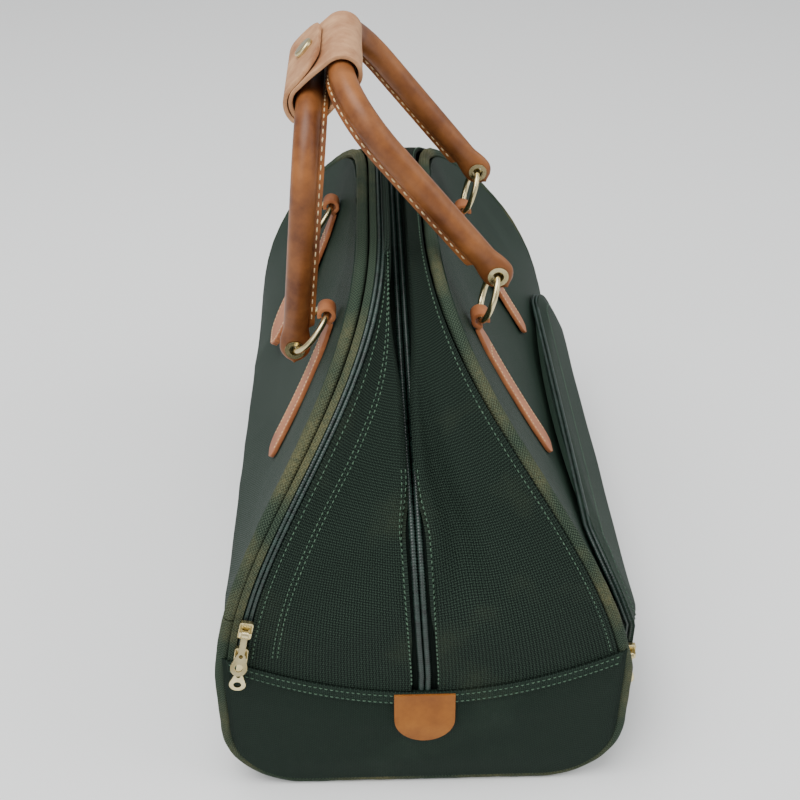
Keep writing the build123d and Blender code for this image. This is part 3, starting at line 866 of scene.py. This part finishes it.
def strap_line(side, x):
    """Centre line of the strip: up the wall, then round the ring."""
    centre = loop_centre(side)
    line, z = [], STRAP_FOOT
    while z < centre.z - TURN_BELOW:
        n = wall_normal(side, x, z)
        line.append((Vector((x, wall_y(side, x, z), z)) + n * 1.7, n))
        z += STRAP_STEP
    n0 = wall_normal(side, x, centre.z)
    up = Vector((0, -n0.z, n0.y)) * (1 if n0.y > 0 else -1)
    for k in range(0, 31):
        a = radians(-70 + 290 * k / 30)
        n = -n0 * cos(a) + up * sin(a)
        line.append((Vector((x, centre.y, centre.z)) + n * 4.7, n))
    return line


def strap(name, side, x, node, where):
    line = strap_line(side, x)
    flat = sum(1 for p, n in line if p.z < loop_centre(side).z - TURN_BELOW)
    last = len(line) - 1

    def place(u, w):
        k = round(w * last)
        p = line[k][0]
        d = p.z - STRAP_FOOT
        half = STRAP_HALF
        if k < flat and d < STRAP_ROUND:
            half = sqrt(max(STRAP_ROUND ** 2 - (STRAP_ROUND - d) ** 2, 0.0)) * 1.1 + 0.05
        half = half - 5.0 * smooth((k - flat + 12) / 12)
        return p + Vector(((2 * u - 1) * half, 0, 0))

    obj = laid(name, 8, last, place, (2 * STRAP_HALF, last * STRAP_STEP), (0, 0, 150))
    modify(obj, "SOLIDIFY", thickness=STRAP_T * MM, offset=0.0)
    modify(obj, "BEVEL", width=0.5 * MM, segments=2, limit_method="ANGLE", angle_limit=radians(50))
    settle(soft(obj), strap_leather, "strap_leather", where, node)
    edge = [(p + Vector((s * 8.6, 0, 0)) + n * 1.3, n) for s in (-1, 1)
            for p, n in (line[6:flat - 12] if s < 0 else reversed(line[6:flat - 12]))]
    settle(stitches(name + "_stitch", edge, 3.4, 2.3, 0.7), cream_thread, "strap_leather", where)


for side, label, where in ((FRONT, "front", "front_lid"), (BACK, "back", "back_wall")):
    for word, x in (("near", STRAP_X), ("far", -STRAP_X)):
        strap(f"{word}_{label}_strap_leather", side, x, f"{word}_{label}_strap", where)
print("straps 4")


# %% [markdown]
# A rolled handle is a strip of leather round a cord, sewn along one side so that a flat lip stands
# out. The roll is flattened at its ends for the eyelets.

# %% Handles
HANDLE_R, BEND, TIP_R, TIP_T, EYELET_R = 8.1, 45.0, 10.0, 9.4, 6.5
LIP_SHARE, LIP_TURN = 0.06, 0.17


def handle_line(side):
    """Points and the outward direction in the handle's plane, from one tip to the other."""
    up = direction(HANDLE_ANGLE[side])
    foot, out = eyelet(side), []
    rise = HANDLE_RISE - BEND

    def put(x, h, nx, nh):
        out.append((Vector((x, 0, 0)) + foot + up * h, Vector((nx, 0, 0)) + up * nh))

    steps, bend_steps, top_steps = 60, 24, 34
    for k in range(steps):
        put(STRAP_X, -TIP_R + (rise + TIP_R) * k / steps, 1, 0)
    for k in range(bend_steps):
        a = pi / 2 * k / bend_steps
        put(STRAP_X - BEND + BEND * cos(a), rise + BEND * sin(a), cos(a), sin(a))
    for k in range(top_steps):
        put(STRAP_X - BEND - 2 * (STRAP_X - BEND) * k / top_steps, HANDLE_RISE, 0, 1)
    for k in range(bend_steps):
        a = pi / 2 * (1 + k / bend_steps)
        put(-(STRAP_X - BEND) + BEND * cos(a), rise + BEND * sin(a), cos(a), sin(a))
    for k in range(steps + 1):
        put(-STRAP_X, rise - (rise + TIP_R) * k / steps, -1, 0)
    return out


def handle(side, label, body):
    line = handle_line(side)
    last = len(line) - 1
    up = direction(HANDLE_ANGLE[side])
    lip_way = Vector((1, 0, 0)).cross(up) * (-side if Vector((1, 0, 0)).cross(up).y > 0 else side)
    runs = [0.0]
    for (p, _), (q, _) in zip(line, line[1:]):
        runs.append(runs[-1] + (q - p).length)

    def size(k):
        d = min(runs[k], runs[-1] - runs[k])
        wide = sqrt(max(TIP_R ** 2 - (TIP_R - d) ** 2, 0.3)) if d < TIP_R else TIP_R
        wide = wide + (HANDLE_R - TIP_R) * smooth((d - 12) / 14)
        deep = TIP_T / 2 + (HANDLE_R - TIP_T / 2) * smooth((d - 17) / 22)
        return wide, deep, 3.6 * smooth((d - 25) / 2.0)

    def place(u, w):
        k = round(w * last)
        p, n = line[k]
        wide, deep, lip = size(k)
        if u < LIP_SHARE or u > 1 - LIP_SHARE:
            # the flat lip, about 2.3 mm thick
            side_way = 1 if u < LIP_SHARE else -1
            t = u / LIP_SHARE if u < LIP_SHARE else (1 - u) / LIP_SHARE
            reach = wide * cos(LIP_TURN) + lip * (1 - smooth((t - 0.35) / 0.65))
            return p + lip_way * reach + n * side_way * deep * sin(LIP_TURN) * min(t * 3, 1.0) * 0.85
        turn = LIP_TURN + (2 * pi - 2 * LIP_TURN) * (u - LIP_SHARE) / (1 - 2 * LIP_SHARE)
        return p + lip_way * wide * cos(turn) + n * deep * sin(turn)

    obj = closed(laid(label + "_handle_leather", 66, last, place, (52, runs[-1])))
    for x in (STRAP_X, -STRAP_X):
        bpy.ops.object.select_all(action="DESELECT")
        at = (eyelet(side) + Vector((x, 0, 0))) * MM
        bpy.ops.mesh.primitive_cylinder_add(vertices=40, radius=EYELET_R * MM, depth=0.03, location=at,
                                            rotation=(0, pi / 2, 0))
        punch = bpy.context.object
        modify(obj, "BOOLEAN", operation="DIFFERENCE", object=punch, solver="EXACT")
        bpy.data.objects.remove(punch)
    settle(soft(obj, 50), handle_leather, "handle_leather", body, label + "_handle")
    for word, way in (("outer", 1), ("inner", -1)):
        rows = [(p + lip_way * (HANDLE_R + 1.3) + n * way * 1.45, n * way)
                for k, (p, n) in enumerate(line) if 29 < min(runs[k], runs[-1] - runs[k])]
        sewn = stitches(f"{label}_handle_{word}_stitch", rows, 5.6, 3.9, 1.1, 0.1)
        settle(sewn, cream_thread, "handle_leather", body)


handle(FRONT, "front", "front_grip")
handle(BACK, "back", "back_grip")
print("handles 2")


# %% [markdown]
# The wrap is one piece of thick leather that goes round both grips and closes with a snap. Its cut
# edges are raw. The sleeve is laid round the grips and the flap is a piece of its own.

# %% Handle wrap
GRIP_R, WRAP_ROOM, WRAP_T, WRAP_HALF = 8.5, 1.6, 2.6, 42.0
WRAP_R = GRIP_R + WRAP_ROOM + WRAP_T


def wrap_place(u, w):
    a, b = grip(FRONT), grip(BACK)
    d = b - a
    run, along = d.length, d.normalized()
    up = Vector((0, -along.z, along.y))
    total = 2 * run + 2 * pi * WRAP_R
    q = (u * total) % total
    if q < run:
        p, n = a + along * q, up
    elif q < run + pi * WRAP_R:
        t = (q - run) / WRAP_R
        n = up * cos(t) + along * sin(t)
        p = b
    elif q < 2 * run + pi * WRAP_R:
        p, n = b - along * (q - run - pi * WRAP_R), -up
    else:
        t = (q - 2 * run - pi * WRAP_R) / WRAP_R
        n = -up * cos(t) - along * sin(t)
        p = a
    x = (2 * w - 1) * (WRAP_HALF + 1.0 * sin(u * 2 * pi + 0.7))
    pucker = 0.5 * sin(q / 7) * abs(2 * w - 1) ** 3 + ripple(x * 2, q * 2, 0.5)
    return Vector((x, 0, 0)) + p + n * (WRAP_R + pucker)


sleeve = laid("handle_wrap_leather", 96, 28, wrap_place, (150, 84), tuple((grip(FRONT) + grip(BACK)) / 2))
in_edit(sleeve, lambda: bpy.ops.mesh.remove_doubles(threshold=2e-6))
settle(thick(sleeve, WRAP_T, 0.4), wrap_leather, "wrap_leather", "front_grip", "handle_wrap")


FLAP_R, FLAP_LOW, FLAP_HIGH = WRAP_R + 0.4 + WRAP_T, -50.0, 44.0
FLAP_TAIL, FLAP_CORNER = 24.0, 21.0


def flap_place(u, w):
    """The flap hugs the front grip and ends in a straight tail with round corners."""
    arc = FLAP_R * radians(FLAP_HIGH - FLAP_LOW)
    q = (arc + FLAP_TAIL) * w
    a = radians(min(FLAP_LOW + degrees(q / FLAP_R), FLAP_HIGH))
    out = Vector((0, -cos(a), sin(a)))
    p = grip(FRONT) + out * FLAP_R + Vector((0, sin(a), cos(a))) * max(q - arc, 0.0)
    short = max(FLAP_CORNER - (arc + FLAP_TAIL - q), 0.0)
    rounded = sqrt(max(FLAP_CORNER ** 2 - short ** 2, 0.0))
    return Vector(((2 * u - 1) * (WRAP_HALF - FLAP_CORNER + rounded), 0, 0)) + p


flap = laid("wrap_flap_leather", 40, 40, flap_place, (84, 52), tuple(grip(FRONT)))
settle(thick(flap, WRAP_T, 0.5), wrap_leather, "wrap_leather", "wrap_end", "wrap_flap")
print("wrap done")


# %% [markdown]
# A leather tab covers the foot of the main zipper at each end, and a tag hangs from the front.

# %% End tabs and luggage tag
TAB_TOP, TAB_LENGTH, TAB_R = 86.0, 38.0, 19.0
TAG_X, TAG_OUT = -80, 9.0


def tab_place(end):
    def place(u, w):
        z = TAB_TOP - TAB_LENGTH * sin(w * pi / 2)
        over = (TAB_TOP - TAB_LENGTH + TAB_R) - z
        half = sqrt(max(TAB_R ** 2 - over * over, 0.0)) if over > 0 else TAB_R
        y = (2 * u - 1) * half
        return (end * (band_x(y, z) + 2.6), y, z)
    return place


for end, word in ((1, "near"), (-1, "far")):
    tab = laid(word + "_tab_leather", 28, 28, tab_place(end), (38, 38), (0, 0, 60))
    settle(thick(tab, 2.2, 0.5), tab_leather, "strap_leather", "base", word + "_end_tab")


def tag_half(z):
    """Half width: a neck, a small upper lobe and a wide lower lobe."""
    if z > 218:
        return 7.0
    upper = 16.0 * sqrt(max(1 - ((z - 206) / 14) ** 2, 0.0)) if 194 < z < 219 else 0.0
    lower = 24.5 * sqrt(max(1 - abs((z - 180) / 26.5) ** 3, 0.0))
    return max(upper, lower, 7.0 if z > 200 else 0.0)


def tag_place(u, w):
    z = 228 - 73.5 * w
    x = TAG_X + (2 * u - 1) * (tag_half(z) + 0.5 * sin(z * 1.2))
    return (x, wall_y(FRONT, TAG_X, z) - TAG_OUT, z)


tag = laid("luggage_tag_leather", 24, 90, tag_place, (50, 74), (0, 0, 190))
settle(thick(tag, 4.2, 0.6), strap_leather, "strap_leather", "tag", "luggage_tag")
sewn = []
for s, zs in ((1, range(222, 156, -1)), (-1, range(156, 222))):
    for z in zs:
        x = TAG_X + s * max(tag_half(z) - 3.5, 0.5)
        sewn.append(((x, wall_y(FRONT, TAG_X, z) - TAG_OUT, z), (0, -1, 0)))
settle(stitches("luggage_tag_stitch", sewn, *FINE_STITCH), cream_thread, "strap_leather", "tag")
print("tabs 2, tag 1")


# %% [markdown]
# Floor, light and camera: a plain pale floor, one large soft light above and two weaker ones.

# %% Stage
bpy.ops.object.select_all(action="DESELECT")
bpy.ops.mesh.primitive_plane_add(size=60)
floor = bpy.context.object
floor.name = "floor"
soft(floor)
paper, paper_shader = finish("pale_paper", 0.9)
paper_shader.inputs["Base Color"].default_value = hex_colour("E9EAE9")
floor.data.materials.append(paper)


def lamp(name, place, aim, size, power):
    data = bpy.data.lights.new(name, "AREA")
    data.size, data.energy = size, power
    obj = bpy.data.objects.new(name, data)
    bpy.context.collection.objects.link(obj)
    obj.location = place
    obj.rotation_mode = "QUATERNION"
    obj.rotation_quaternion = (Vector(aim) - Vector(place)).to_track_quat("-Z", "Y")


lamp("overhead", (0.5, -0.5, 2.2), (0, 0, 0), 1.7, 62)
lamp("front_fill", (1.9, -1.2, 1.3), (0, 0, 0.2), 1.6, 16)
lamp("back_fill", (0.4, 1.8, 1.4), (0, 0, 0.2), 1.6, 20)
world = bpy.data.worlds.new("room")
bpy.context.scene.world = world
world.use_nodes = True
world.node_tree.nodes["Background"].inputs["Color"].default_value = hex_colour("F2F3F5")
world.node_tree.nodes["Background"].inputs["Strength"].default_value = 0.75

data = bpy.data.cameras.new("camera")
data.lens, data.sensor_width = 54.3, 36.0
camera = bpy.data.objects.new("camera", data)
bpy.context.collection.objects.link(camera)
camera.location = (0.740, -0.030, 0.661)
camera.rotation_mode = "QUATERNION"
camera.rotation_quaternion = Vector((-0.8208, 0.0236, -0.5704)).to_track_quat("-Z", "Y")
bpy.context.scene.camera = camera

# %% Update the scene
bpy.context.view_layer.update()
